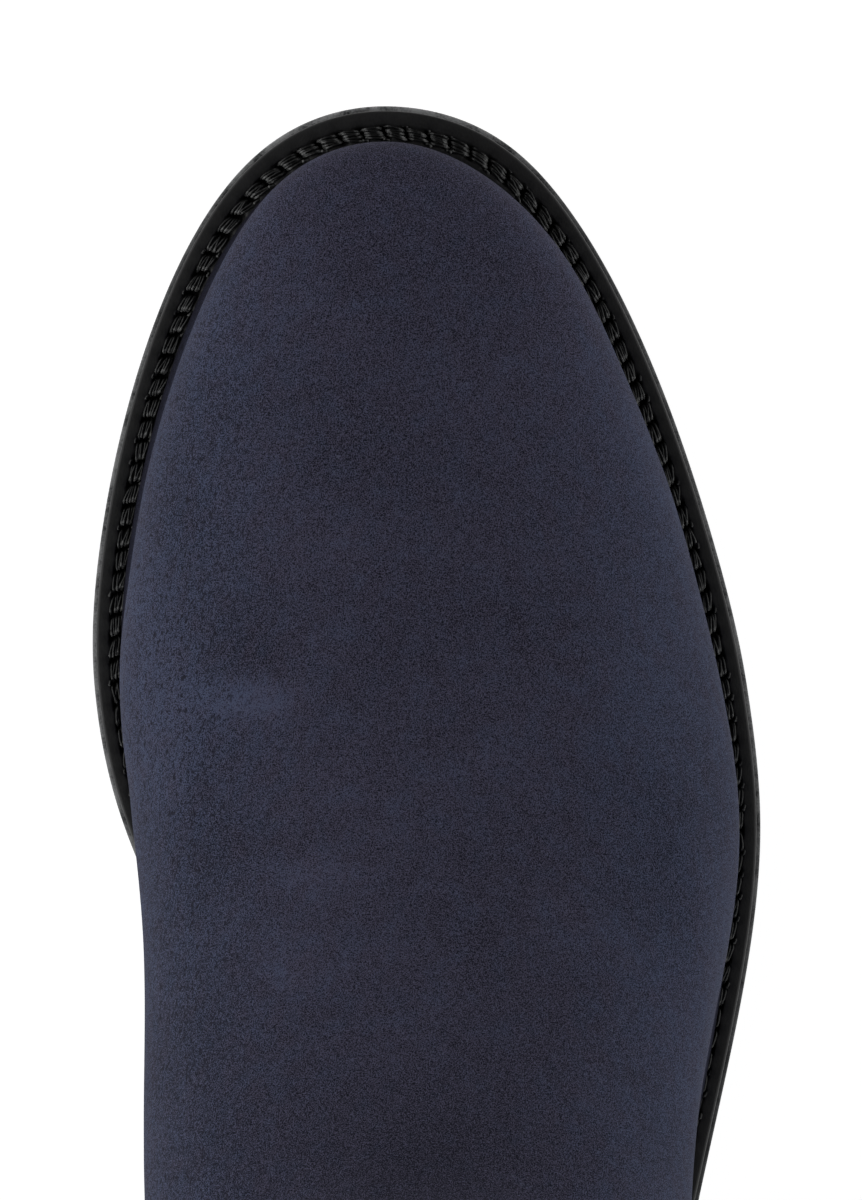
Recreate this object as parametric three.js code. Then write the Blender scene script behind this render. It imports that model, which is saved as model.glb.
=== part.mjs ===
// A plain pull-on ankle boot for the right foot: suede upper, stitched welt, low stacked heel.
// Millimetres. +Y points to the toe, +X to the outer side of the foot, +Z up; the floor is z = 0.
import * as THREE from 'three';

// Driving dimensions.
const LENGTH = 272; // sole, heel end to toe tip
const TOE = LENGTH / 2;
const HEEL = -LENGTH / 2;
const FIT = 0.3; // gap between pieces that touch
const OUTSOLE = 4.5; // thickness of the outsole
const WELT = 3.2; // thickness of the welt
const INSOLE = 2.8; // thickness of the insole above the welt
const WALL = 2.2; // suede and lining together
const LEDGE = 0.65; // how far the outsole's edge stands out from the welt
const GROOVE_START = 2.6; // stitch groove, from the sole's edge
const GROOVE_END = 4.8;
const GROOVE_DEPTH = 1.1;
const WELT_WIDTH = 14; // from the sole's edge to the welt's hidden inner edge
const TOP_PIECE = 6; // thickness of the heel's top piece
const BREAST = -68; // front face of the heel, under the sole
const BREAST_RAKE = 3; // how far that face leans back at the floor
const HEEL_TAPER = 2.4; // how far the heel draws in from sole to floor
const COLLAR = 160; // height of the collar at its sides
const COLLAR_RISE = 4; // extra height at the collar's front and back
const COLLAR_MIDDLE = -79; // middle of the shaft, front to back
const SHAFT_HALF = 50; // half of its length there

// Rounding of the ends in plan: a piece is at its full width between these two places.
const TOE_ROUND_FROM = 50;
const HEEL_ROUND_FROM = -101;

const STATIONS = 40; // points along each side of a sole piece
const SIDE_POINTS = 30; // points along each side of the upper
const RINGS = 30; // rings of the upper from the welt to the collar

// The curve of least bend through the points (at, value), level past both ends.
function curve(at, value) {
  const n = at.length;
  const bend = new Array(n).fill(0);
  const share = new Array(n).fill(0);
  for (let i = 1; i < n - 1; i++) {
    const before = at[i] - at[i - 1];
    const after = at[i + 1] - at[i];
    const jump = (value[i + 1] - value[i]) / after - (value[i] - value[i - 1]) / before;
    const pivot = 2 * (before + after) - before * share[i - 1];
    share[i] = after / pivot;
    bend[i] = (6 * jump - before * bend[i - 1]) / pivot;
  }
  for (let i = n - 2; i > 0; i--) bend[i] -= share[i] * bend[i + 1];
  return (x) => {
    const inside = Math.min(Math.max(x, at[0]), at[n - 1]);
    let i = 0;
    while (i < n - 2 && inside > at[i + 1]) i++;
    const h = at[i + 1] - at[i];
    const a = (at[i + 1] - inside) / h;
    const b = 1 - a;
    const cubic = ((a ** 3 - a) * bend[i] + (b ** 3 - b) * bend[i + 1]) * (h * h) / 6;
    return a * value[i] + b * value[i + 1] + cubic;
  };
}

// A table's first column is the place; each other column becomes a smooth function of it.
function table(columns, rows) {
  const sorted = [...rows].sort((p, q) => p[0] - q[0]);
  const at = sorted.map((row) => row[0]);
  const made = {};
  columns.slice(1).forEach((name, k) => {
    made[name] = curve(at, sorted.map((row) => row[k + 1]));
  });
  return made;
}

// Edge of the sole in plan, as it would run if toe and heel were not rounded off.
const soleEdge = table(['y', 'inner', 'outer'], [
  [136, -56.4, 47.8],
  [128, -53.5, 43.9],
  [114, -50.9, 41.5],
  [95, -49.9, 41.9],
  [70, -49.9, 44.6],
  [50, -49.4, 47.8],
  [30, -45.3, 49.8],
  [10, -37.0, 48.1],
  [-10, -30.7, 44.1],
  [-35, -27.4, 38.6],
  [-65, -29.0, 34.4],
  [-100, -32.6, 34.4],
  [-136, -35.0, 37.0],
]);

// Widest line of the upper in plan, given in the same way, its height above the welt, and how far
// the foot of the upper stands in from the sole's edge.
const widest = table(['y', 'inner', 'outer', 'height', 'margin'], [
  [131, -49.0, 35.5, 8, 6.2],
  [120, -45.6, 37.2, 9, 5.9],
  [100, -43.8, 37.1, 11, 5.7],
  [80, -44.4, 39.2, 13, 5.4],
  [54, -45.5, 43.3, 14, 5.2],
  [30, -43.3, 46.1, 18, 4.8],
  [12, -41.5, 44.4, 24, 4.0],
  [-10, -41.2, 40.1, 32, 3.3],
  [-45, -39.6, 37.9, 34, 2.8],
  [-90, -34.4, 35.0, 30, 2.6],
  [-134, -33.5, 34.0, 24, 2.6],
]);

// Middle line, where the two sides of toe, ridge and heel meet.
const middle = table(['y', 'x'], [
  [136, -6.1],
  [100, -6.1],
  [50, -5.0],
  [0, -3.2],
  [-40, -0.6],
  [-90, 0.8],
  [-136, 1.0],
]);

// Underside of the outsole seen from the side, before the tread is made flat on the floor.
const underside = table(['y', 'z'], [
  [136, 9.4],
  [120, 5.7],
  [100, 2.4],
  [80, 0.5],
  [62, -0.25],
  [38, -0.25],
  [20, 1.2],
  [0, 4.9],
  [-20, 10.4],
  [-45, 18.0],
  [-68, 23.4],
  [-100, 25.2],
  [-136, 26.0],
]);

// Front and back of the upper seen from the side. The front's height is above the welt at the toe.
const front = table(['turn', 'y', 'z'], [
  [0, 129.6, 0],
  [0.05, 130.4, 6.5],
  [0.1, 129.4, 12.5],
  [0.16, 123.5, 18.0],
  [0.24, 110, 23.5],
  [0.34, 90, 30.2],
  [0.44, 70, 37.6],
  [0.54, 50, 46.0],
  [0.65, 27, 58.5],
  [0.76, 3, 74.0],
  [0.85, -16, 89.5],
  [0.91, -26.5, 105],
  [0.96, -31, 123],
  [1, -31.5, 147],
]);
const back = table(['z', 'y'], [
  [33, -132.6],
  [46, -135.0],
  [60, -135.4],
  [78, -132.6],
  [98, -128.4],
  [120, -126.4],
  [140, -126.8],
  [164, -128.5],
]);

// Half width of the shaft, and where each ring of the upper reaches its full width behind the
// toe and before the heel. The place is the ring's share of the height, 0 at the welt.
const shaft = table(['level', 'half', 'frontFrom', 'backFrom'], [
  [0, 36.5, 50, -101],
  [0.06, 36.5, 50, -101],
  [0.12, 36.5, 40, -100],
  [0.2, 36.5, 10, -98],
  [0.3, 36.5, -20, -94],
  [0.42, 36.0, -44, -88],
  [0.56, 35.6, -62, -82],
  [0.7, 36.2, -74, -79],
  [0.85, 38.2, -79, -79],
  [1, 40.5, -80, -80],
]);
const ANKLE_FROM = 0.3; // between these two levels the foot's width gives way to the shaft's
const ANKLE_TO = 0.64;

const clamp = (x) => Math.min(Math.max(x, 0), 1);
const ease = (x) => clamp(x) ** 2 * (3 - 2 * clamp(x));
// An end's rounding: 1 where it starts, 0 at the tip, an ellipse between.
const rounding = (x) => Math.sqrt(Math.max(0, 1 - clamp(x) ** 2));

const undersideAt = (y) => Math.max(0, underside.z(y));
const weltTopAt = (y) => undersideAt(y) + OUTSOLE + FIT + WELT;
const footAt = (y) => weltTopAt(y) + FIT;

// The sole's edge on one side (-1 inner, 1 outer) at y.
function soleSide(side, y) {
  const full = side < 0 ? soleEdge.inner(y) : soleEdge.outer(y);
  const toe = rounding((y - TOE_ROUND_FROM) / (TOE - TOE_ROUND_FROM));
  const heel = rounding((HEEL_ROUND_FROM - y) / (HEEL_ROUND_FROM - HEEL));
  return middle.x(y) + (full - middle.x(y)) * toe * heel;
}

// A loop of points round the sole from one y to another: along the inner side and back along the
// outer one. A blunt end starts on its own line, and a round end's points draw together.
function soleLoop(from, blunt) {
  const places = [];
  for (let k = 0; k < STATIONS; k++) {
    const turn = (k + 0.5) / STATIONS;
    const share = blunt ? Math.sin((turn * Math.PI) / 2) : (1 - Math.cos(turn * Math.PI)) / 2;
    places.push(from + (HEEL - from) * (blunt && k === 0 ? 0 : share));
  }
  const inner = places.map((y) => [soleSide(-1, y), y]);
  const outer = places.map((y) => [soleSide(1, y), y]).reverse();
  return [...inner, ...outer];
}

// The loop moved inwards by a distance, at right angles to itself.
function inset(loop, distance) {
  const n = loop.length;
  return loop.map(([x, y], k) => {
    const [x0, y0] = loop[(k + n - 1) % n];
    const [x1, y1] = loop[(k + 1) % n];
    const length = Math.hypot(x1 - x0, y1 - y0);
    const step = typeof distance === 'function' ? distance(y) : distance;
    return [x - (step * (y1 - y0)) / length, y + (step * (x1 - x0)) / length];
  });
}

const raised = (loop, heightAt) => loop.map(([x, y]) => [x, y, heightAt(y)]);

// A closed solid from loops of equal length. Each joins the next; then the first and last are
// either joined to each other, which leaves the solid open in the middle, or closed by a floor
// and a roof whose strips run from the inner to the outer side.
function solidFromLoops(loops, open) {
  const n = loops[0].length;
  const index = [];
  const at = (ring, k) => (ring % loops.length) * n + ((k + n) % n);
  const last = open ? loops.length : loops.length - 1;
  for (let ring = 0; ring < last; ring++) {
    for (let k = 0; k < n; k++) {
      index.push(at(ring, k), at(ring, k + 1), at(ring + 1, k + 1));
      index.push(at(ring, k), at(ring + 1, k + 1), at(ring + 1, k));
    }
  }
  if (!open) {
    const top = loops.length - 1;
    for (let k = 0; k < n / 2 - 1; k++) {
      const other = n - 1 - k;
      index.push(at(top, k), at(top, k + 1), at(top, other));
      index.push(at(top, k + 1), at(top, other - 1), at(top, other));
      index.push(at(0, k), at(0, other), at(0, k + 1));
      index.push(at(0, k + 1), at(0, other), at(0, other - 1));
    }
  }
  const geometry = new THREE.BufferGeometry();
  geometry.setAttribute('position', new THREE.Float32BufferAttribute(loops.flat(2), 3));
  geometry.setIndex(index);
  geometry.computeVertexNormals();
  return geometry;
}

// Height of the collar at y: lowest at the sides of the shaft.
function collarAt(y) {
  const away = clamp(Math.abs(y - COLLAR_MIDDLE) / SHAFT_HALF);
  return COLLAR + (COLLAR_RISE * (1 - Math.cos(Math.PI * away))) / 2;
}

// The upper's outside at a ring's level, y and side. The width grows from the foot of the upper
// to its widest line by a quarter sine, gives way to the shaft's above the ankle, and is rounded
// off to the front and back of that ring.
function upperSide(side, y, level, ring) {
  const height = level * (collarAt(y) - footAt(y));
  const edge = side < 0 ? soleEdge.inner(y) : soleEdge.outer(y);
  const full = side < 0 ? widest.inner(y) : widest.outer(y);
  const start = edge - side * widest.margin(y);
  const grown = start + (full - start) * Math.sin((clamp(height / widest.height(y)) * Math.PI) / 2);
  const ankle = ease((level - ANKLE_FROM) / (ANKLE_TO - ANKLE_FROM));
  const width = grown + (side * shaft.half(level) + middle.x(y) - grown) * ankle;
  const toe = rounding((y - ring.frontFrom) / (ring.front - ring.frontFrom));
  const heel = rounding((ring.backFrom - y) / (ring.backFrom - ring.back));
  return [middle.x(y) + (width - middle.x(y)) * toe * heel, y, footAt(y) + height];
}

function upperRing(turn, count = SIDE_POINTS) {
  const y = front.y(turn);
  const z = footAt(TOE) + front.z(turn);
  const level = turn === 0 ? 0 : turn === 1 ? 1 : clamp((z - footAt(y)) / (collarAt(y) - footAt(y)));
  const backHeight = footAt(HEEL) + level * (collarAt(HEEL) - footAt(HEEL));
  const ring = {
    front: y,
    back: back.y(backHeight),
    frontFrom: shaft.frontFrom(level),
    backFrom: shaft.backFrom(level),
  };
  const points = [];
  for (let k = 0; k < count; k++) {
    const share = (1 - Math.cos(((k + 0.5) / count) * Math.PI)) / 2;
    points.push(ring.front + (ring.back - ring.front) * share);
  }
  const inner = points.map((place) => upperSide(-1, place, level, ring));
  const outer = points.map((place) => upperSide(1, place, level, ring)).reverse();
  return [...inner, ...outer];
}

// The rings moved inwards by the wall, at right angles to the surface; the first and last ring
// stay at their own height, so that foot and collar have flat rims.
function innerRings(rings) {
  const n = rings[0].length;
  return rings.map((ring, i) => ring.map((point, k) => {
    const below = new THREE.Vector3(...rings[Math.max(i - 1, 0)][k]);
    const above = new THREE.Vector3(...rings[Math.min(i + 1, rings.length - 1)][k]);
    const before = new THREE.Vector3(...ring[(k + n - 1) % n]);
    const after = new THREE.Vector3(...ring[(k + 1) % n]);
    const out = after.sub(before).cross(above.sub(below));
    if (i === 0 || i === rings.length - 1) out.z = 0;
    out.normalize().multiplyScalar(WALL);
    return [point[0] - out.x, point[1] - out.y, point[2] - out.z];
  }));
}

function makeUpper() {
  const rings = [];
  for (let i = 0; i <= RINGS; i++) rings.push(upperRing(i / RINGS));
  return solidFromLoops([...rings, ...innerRings(rings).reverse()], true);
}

function makeInsole() {
  const edge = upperRing(0, STATIONS).map(([x, y]) => [x, y]);
  const sheet = inset(edge, WALL + 2 * FIT);
  const filling = inset(soleLoop(TOE, false), WELT_WIDTH + FIT);
  const under = (y) => undersideAt(y) + OUTSOLE + FIT;
  return solidFromLoops([
    raised(filling, under),
    raised(filling, footAt),
    raised(sheet, footAt),
    raised(sheet, (y) => footAt(y) + INSOLE),
  ], false);
}

function makeWelt() {
  const edge = soleLoop(TOE, false);
  const floor = (y) => weltTopAt(y) - WELT;
  const groove = (y) => weltTopAt(y) - GROOVE_DEPTH;
  return solidFromLoops([
    raised(inset(edge, LEDGE), floor),
    raised(inset(edge, LEDGE), weltTopAt),
    raised(inset(edge, GROOVE_START), weltTopAt),
    raised(inset(edge, GROOVE_START), groove),
    raised(inset(edge, GROOVE_END), groove),
    raised(inset(edge, GROOVE_END), weltTopAt),
    raised(inset(edge, WELT_WIDTH), weltTopAt),
    raised(inset(edge, WELT_WIDTH), floor),
  ], true);
}

function makeOutsole() {
  const edge = soleLoop(TOE, false);
  const bevel = 1.1;
  return solidFromLoops([
    raised(inset(edge, bevel), undersideAt),
    raised(edge, (y) => undersideAt(y) + bevel),
    raised(edge, (y) => undersideAt(y) + OUTSOLE),
  ], false);
}

// A block under the heel between two heights; its loop is drawn in, and set back at the breast,
// in step with its distance from the sole.
function heelBlock(lowAt, highAt) {
  const drop = (z) => 1 - z / undersideAt(HEEL);
  const loopAt = (z) => inset(soleLoop(BREAST - BREAST_RAKE * drop(z), true), HEEL_TAPER * drop(z));
  return solidFromLoops([
    raised(loopAt(lowAt(HEEL)), lowAt),
    raised(loopAt(highAt(HEEL)), highAt),
  ], false);
}

const suede = new THREE.MeshStandardMaterial({ color: 0x2c2e3d, roughness: 0.95, metalness: 0 });
const blackLeather = new THREE.MeshStandardMaterial({ color: 0x161618, roughness: 0.45, metalness: 0 });
const rubber = new THREE.MeshStandardMaterial({ color: 0x2a2b2d, roughness: 0.75, metalness: 0 });
const lining = new THREE.MeshStandardMaterial({ color: 0x4a4038, roughness: 0.8, metalness: 0 });

const group = new THREE.Group();
function add(name, geometry, material) {
  const mesh = new THREE.Mesh(geometry, material);
  mesh.name = name;
  group.add(mesh);
}

add('upper', makeUpper(), suede);
add('insole', makeInsole(), lining);
add('welt', makeWelt(), blackLeather);
add('outsole', makeOutsole(), rubber);
add('heel_stack', heelBlock(() => TOP_PIECE + FIT, (y) => undersideAt(y) - FIT), blackLeather);
add('heel_top_piece', heelBlock(() => 0, () => TOP_PIECE), rubber);

export default group;
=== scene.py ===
"""The looks of a plain suede ankle boot, right foot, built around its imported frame.

Tables and shape functions are in millimetres, +Y to the toe, +X to the outer side, +Z up, with the
floor at z = 0. A mesh is turned into metres when it is made.
"""

import bmesh
import bpy
import numpy as np
from bpy.props import FloatProperty, FloatVectorProperty, IntProperty, PointerProperty
from bpy.types import Operator, Panel, PropertyGroup
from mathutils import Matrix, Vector


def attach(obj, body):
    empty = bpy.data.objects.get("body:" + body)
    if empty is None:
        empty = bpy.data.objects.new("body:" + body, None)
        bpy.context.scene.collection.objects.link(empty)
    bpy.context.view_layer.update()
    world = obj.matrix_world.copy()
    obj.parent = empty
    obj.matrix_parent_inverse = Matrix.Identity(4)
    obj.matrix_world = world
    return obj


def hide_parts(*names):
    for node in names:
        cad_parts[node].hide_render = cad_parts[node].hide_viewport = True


bl_info = {
    "name": "Suede ankle boot",
    "version": (1, 0, 0),
    "blender": (4, 5, 0),
    "location": "3D View > Sidebar > Boot",
    "description": "Builds the looks of a plain suede ankle boot around its packed frame",
    "category": "Add Mesh",
}

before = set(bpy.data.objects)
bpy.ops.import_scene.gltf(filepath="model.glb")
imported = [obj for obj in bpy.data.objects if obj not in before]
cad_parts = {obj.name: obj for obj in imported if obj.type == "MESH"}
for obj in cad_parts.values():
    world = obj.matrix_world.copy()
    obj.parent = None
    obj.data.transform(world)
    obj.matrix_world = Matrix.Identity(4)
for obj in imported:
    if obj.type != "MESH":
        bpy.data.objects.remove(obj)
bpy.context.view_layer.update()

MM = 0.001
TOE = 136.0
HEEL = -136.0
# The gap that neighbours keep, and thicknesses.
FIT = 0.3
OUTSOLE = 4.5
WELT = 3.2
INSOLE = 2.8
WALL = 2.2
TOP_PIECE = 6.0
# How far the sole's edge stands out beyond the welt, and how far in from that edge the welt reaches.
LEDGE = 0.65
WELT_WIDTH = 14.0
# Front of the heel at the sole, how far the foot of the heel is set back there and drawn in all round.
BREAST = -68.0
BREAST_RAKE = 3.0
HEEL_TAPER = 2.4
# Collar: lowest height, rise to front and back, middle, and half of its length.
COLLAR = 160.0
COLLAR_RISE = 4.0
COLLAR_MIDDLE = -79.0
SHAFT_HALF = 50.0
# Where the sole begins to be rounded off, and the share of the height over which foot turns to shaft.
TOE_ROUND_FROM = 50.0
HEEL_ROUND_FROM = -101.0
ANKLE_FROM = 0.3
ANKLE_TO = 0.64
# Width in which one side's shape passes into the other's, and how near points have to be to be merged.
SIDES_MEET = 30.0
MERGE = 0.01
# How many rings the suede has, and how many points on each side of a ring.
SUEDE_GRID = (150, 140)


def curve(at, value):
    """The curve of least bend through the points (at, value), level past both ends: a cubic between
    each pair of points, whose second derivatives, zero at both ends, solve one linear system."""
    at, value = np.asarray(at, float), np.asarray(value, float)
    gap = np.diff(at)
    system = np.eye(len(at))
    inner = np.arange(1, len(at) - 1)
    system[inner, inner - 1] = gap[:-1]
    system[inner, inner] = 2 * (gap[:-1] + gap[1:])
    system[inner, inner + 1] = gap[1:]
    right = np.zeros(len(at))
    right[1:-1] = 6 * np.diff(np.diff(value) / gap)
    bend = np.linalg.solve(system, right)

    def along(x):
        """The cubic of the gap that x lies in."""
        x = np.clip(x, at[0], at[-1])
        i = np.clip(np.searchsorted(at, x, side="right") - 1, 0, len(at) - 2)
        a = (at[i + 1] - x) / gap[i]
        b = 1 - a
        cubic = ((a**3 - a) * bend[i] + (b**3 - b) * bend[i + 1]) * gap[i] ** 2 / 6
        return a * value[i] + b * value[i + 1] + cubic

    return along


def table(columns, rows):
    """The first column is the place; each other column becomes a smooth function of it."""
    rows = np.array(sorted(rows), float)
    return {name: curve(rows[:, 0], rows[:, k + 1]) for k, name in enumerate(columns[1:])}


# Edge of the sole in plan, as it would run if toe and heel were not rounded off.
sole_edge = table(("y", "inner", "outer"), [
    (136, -56.4, 47.8),
    (128, -53.5, 43.9),
    (114, -50.9, 41.5),
    (95, -49.9, 41.9),
    (70, -49.9, 44.6),
    (50, -49.4, 47.8),
    (30, -45.3, 49.8),
    (10, -37.0, 48.1),
    (-10, -30.7, 44.1),
    (-35, -27.4, 38.6),
    (-65, -29.0, 34.4),
    (-100, -32.6, 34.4),
    (-136, -35.0, 37.0),
])
# Widest line of the upper in plan, given in the same way, its height above the welt, and how far
# the foot of the upper stands in from the sole's edge.
widest = table(("y", "inner", "outer", "height", "margin"), [
    (131, -49.0, 35.5, 8, 6.2),
    (120, -45.6, 37.2, 9, 5.9),
    (100, -43.8, 37.1, 11, 5.7),
    (80, -44.4, 39.2, 13, 5.4),
    (66, -44.8, 41.0, 14, 5.3),
    (54, -45.4, 43.0, 14, 5.2),
    (30, -43.3, 46.2, 18, 4.8),
    (12, -41.5, 44.4, 24, 4.0),
    (-10, -41.2, 40.1, 32, 3.3),
    (-45, -39.6, 37.9, 34, 2.8),
    (-90, -34.4, 35.0, 30, 2.6),
    (-134, -33.5, 34.0, 24, 2.6),
])
# Middle line, where the two sides of toe, ridge and heel meet.
middle = table(("y", "x"), [
    (136, -6.1), (100, -6.1), (50, -5.0), (0, -3.2), (-40, -0.6), (-90, 0.8), (-136, 1.0),
])
# Underside of the outsole seen from the side, before the tread is made flat on the floor.
underside = table(("y", "z"), [
    (136, 9.4),
    (120, 5.7),
    (100, 2.4),
    (80, 0.5),
    (62, -0.25),
    (38, -0.25),
    (20, 1.2),
    (0, 4.9),
    (-20, 10.4),
    (-45, 18.0),
    (-68, 23.4),
    (-100, 25.2),
    (-136, 26.0),
])
# Front and back of the upper seen from the side. The front's height is above the welt at the toe.
front = table(("turn", "y", "z"), [
    (0, 129.6, 0),
    (0.05, 130.4, 6.5),
    (0.1, 129.4, 12.5),
    (0.16, 123.5, 18.0),
    (0.24, 110, 23.5),
    (0.34, 90, 30.2),
    (0.44, 70, 37.6),
    (0.54, 50, 46.0),
    (0.65, 27, 58.5),
    (0.76, 3, 74.0),
    (0.85, -16, 89.5),
    (0.91, -26.5, 105),
    (0.96, -31, 123),
    (1, -31.5, 147),
])
back = table(("z", "y"), [
    (33, -132.6),
    (46, -135.0),
    (60, -135.4),
    (78, -132.6),
    (98, -128.4),
    (120, -126.4),
    (140, -126.8),
    (164, -128.5),
])
# Half width of the shaft, and where each ring of the upper reaches its full width behind the toe
# and before the heel. The place is the ring's share of the height, 0 at the welt.
shaft = table(("level", "half", "front_from", "back_from"), [
    (0, 36.5, 50, -101),
    (0.06, 36.5, 50, -101),
    (0.12, 36.5, 40, -100),
    (0.2, 36.5, 10, -98),
    (0.3, 36.5, -20, -94),
    (0.42, 36.0, -44, -88),
    (0.56, 35.6, -62, -82),
    (0.7, 36.2, -74, -79),
    (0.85, 38.2, -79, -79),
    (1, 40.5, -80, -80),
])
# How pale the sole's ledge is on each side; the rise at the toe's tip is painted light.
ledge_paleness = table(("y", "inner", "outer"), [
    (134, 1.0, 1.0),
    (124, 0.6, 0.42),
    (112, 0.3, 0.25),
    (98, 0.56, 0.38),
    (85, 0.66, 0.46),
    (60, 0.72, 0.62),
    (35, 0.66, 0.6),
    (10, 0.6, 0.36),
    (-136, 0.6, 0.4),
])
# Soft troughs (depth above 0) and ridges in the suede: x, y and z of the middle, the direction's x, y
# and z, half length, half width and depth.
CREASES = [
    (-34, 42, 34, 0.75, 0.55, 0.35, 15, 4.5, 0.35),
    (-24, 22, 52, 0.85, 0.35, 0.4, 13, 5.0, 0.35),
    (-22, 8, 62, 0.9, 0.2, 0.4, 12, 4.0, -0.2),
    (30, 36, 38, 0.8, -0.45, -0.4, 13, 5.0, 0.3),
    (26, 8, 58, 0.85, -0.3, -0.45, 13, 5.0, 0.3),
    (-2, -24, 106, 1.0, 0.0, 0.0, 30, 4.5, 0.9),
    (-2, -30, 122, 1.0, 0.0, 0.0, 26, 5.0, -0.5),
    (-2, -31, 136, 1.0, 0.05, 0.0, 28, 5.0, 0.6),
    (0, -128, 98, 1.0, 0.0, 0.0, 26, 5.5, 0.8),
    (-33, -58, 104, 0.1, 1.0, 0.25, 22, 6.0, 0.7),
    (34, -60, 106, -0.1, 1.0, 0.2, 24, 6.5, 0.7),
]
# Ovals where the nap was stroked, and one of painted shade: x, y, half sizes in x and y, and strength,
# lighter above 0.
NAP_OVALS_AND_SHADE = [
    (-26, 48, 7, 2.5, 0.9),
    (-40, 60, 5, 22, 0.2),
    (-17, 23, 6, 2, 0.4),
    (-19, 9, 5, 2.5, 0.25),
    (-6, 131, 28, 5, -0.35),
    (-31, 27, 7, 8, -0.2),
    (-34, -8, 10, 16, -0.3),
    (-37, 76, 5, 9, -0.25),
    (-28, 56, 6, 5, -0.25),
    (33, 52, 6, 12, 0.15),
    (12, 10, 10, 14, -0.12),
    # Painted shade: the dark oval over the instep's slope.
    (-2, -22, 24, 16, -0.4),
]


def ease(x):
    """0 up to 0, 1 from 1, and the smooth cubic 3 x^2 - 2 x^3 between."""
    x = np.clip(x, 0, 1)
    return x * x * (3 - 2 * x)


def half_wave(x):
    """From 0 at 0 to 1 at 1 as half a cosine wave: (1 - cos(pi x)) / 2."""
    return (1 - np.cos(x * np.pi)) / 2


def rounding(x):
    """A quarter ellipse: the square root of 1 - x^2, from 1 at 0 down to 0 at 1."""
    return np.sqrt(1 - np.clip(x, 0, 1) ** 2)


def unit(vectors):
    """Vectors along the last axis, divided by their lengths."""
    return vectors / np.linalg.norm(vectors, axis=-1, keepdims=True)


def lengths(points):
    """Length of a line up to each of its points: the sum of the steps so far."""
    return np.r_[0, np.cumsum(np.linalg.norm(np.diff(points, axis=0), axis=1))]


def on_side(columns, side, y):
    """A table's inner column at y where side is below 0, and elsewhere its outer column."""
    return np.where(side < 0, columns["inner"](y), columns["outer"](y))


def underside_at(y):
    """Height of the outsole's underside at y, no lower than the floor."""
    return np.maximum(0, underside["z"](y))


def welt_bottom_at(y):
    """Height of the welt's underside at y: the sole's underside, the outsole and the gap added up."""
    return underside_at(y) + OUTSOLE + FIT


def welt_top_at(y):
    """Height of the welt's top at y."""
    return welt_bottom_at(y) + WELT


def foot_at(y):
    """Height of the upper's lower rim at y."""
    return welt_top_at(y) + FIT


def insole_top_at(y):
    """Height of the insole's top at y, without its dish."""
    return foot_at(y) + INSOLE


def raised(height, rise):
    """The function height of y with rise added."""
    return lambda y: height(y) + rise


def collar_at(y):
    """Height of the collar at y: lowest beside the shaft's middle, half a cosine wave up to each end."""
    away = np.clip(np.abs(y - COLLAR_MIDDLE) / SHAFT_HALF, 0, 1)
    return COLLAR + COLLAR_RISE * half_wave(away)


def sole_side(side, y):
    """The sole's edge on one side (-1 inner, 1 outer): the table's edge, drawn to the middle line by
    a quarter ellipse at toe and heel."""
    full = on_side(sole_edge, side, y)
    toe = rounding((y - TOE_ROUND_FROM) / (TOE - TOE_ROUND_FROM))
    heel = rounding((HEEL_ROUND_FROM - y) / (HEEL_ROUND_FROM - HEEL))
    return middle["x"](y) + (full - middle["x"](y)) * toe * heel


def sole_loop(count, start=TOE, blunt=False):
    """Points (x, y) round the sole from start along the inner side to the heel and back along the
    outer side. Their y goes as half a cosine wave, or from a blunt start as a quarter sine."""
    turn = (np.arange(count) + 0.5) / count
    share = half_wave(turn)
    if blunt:
        share = np.sin((turn - turn[0]) / (1 - turn[0] * 2) * np.pi / 2).clip(0, 1)
        share[-1] = np.cos(turn[0] * np.pi / 2)
    y = start + (HEEL - start) * share
    inner, outer = (np.stack([sole_side(side, y), y], 1) for side in (-1, 1))
    return np.concatenate([inner, outer[::-1]])


def inward(loop):
    """Unit vectors into a closed loop (x, y), at right angles to the line between the neighbours."""
    step = unit(np.roll(loop, -1, 0) - np.roll(loop, 1, 0))
    return np.stack([-step[:, 1], step[:, 0]], 1)


def ring_at(loop, inset, height):
    """A loop moved inwards by inset, at height, a number or a function of y."""
    moved = loop + inward(loop) * np.reshape(inset, (-1, 1))
    z = height(moved[:, 1]) if callable(height) else np.full(len(moved), float(height))
    return np.column_stack([moved, z])


def evenly(points, count):
    """A closed line of points resampled to count points, the same distance apart in plan. Columns
    after x and y are carried along."""
    closed = np.concatenate([points, points[:1]])
    length = lengths(closed[:, :2])
    wanted = np.arange(count) / count * length[-1]
    return np.column_stack([np.interp(wanted, length, closed[:, k]) for k in range(points.shape[1])])


def from_middle(grid):
    """How far the points of a grid lie from the middle line, above 0 on the outer side."""
    return grid[..., 0] - middle["x"](grid[..., 1])


def inner_share(grid):
    """1 on the inner side, 0 on the outer side, and a smooth step between."""
    return ease(0.5 - from_middle(grid) / SIDES_MEET)


def above_foot(grid):
    """How high the points of a grid lie above the upper's lower rim."""
    return grid[..., 2] - foot_at(grid[..., 1])


def narrowed(ring, share):
    """A ring drawn in towards the middle line to a share of its width, at the same y and height."""
    centre = middle["x"](ring[:, 1])
    return np.column_stack([centre + (ring[:, 0] - centre) * share, ring[:, 1], ring[:, 2]])


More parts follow.
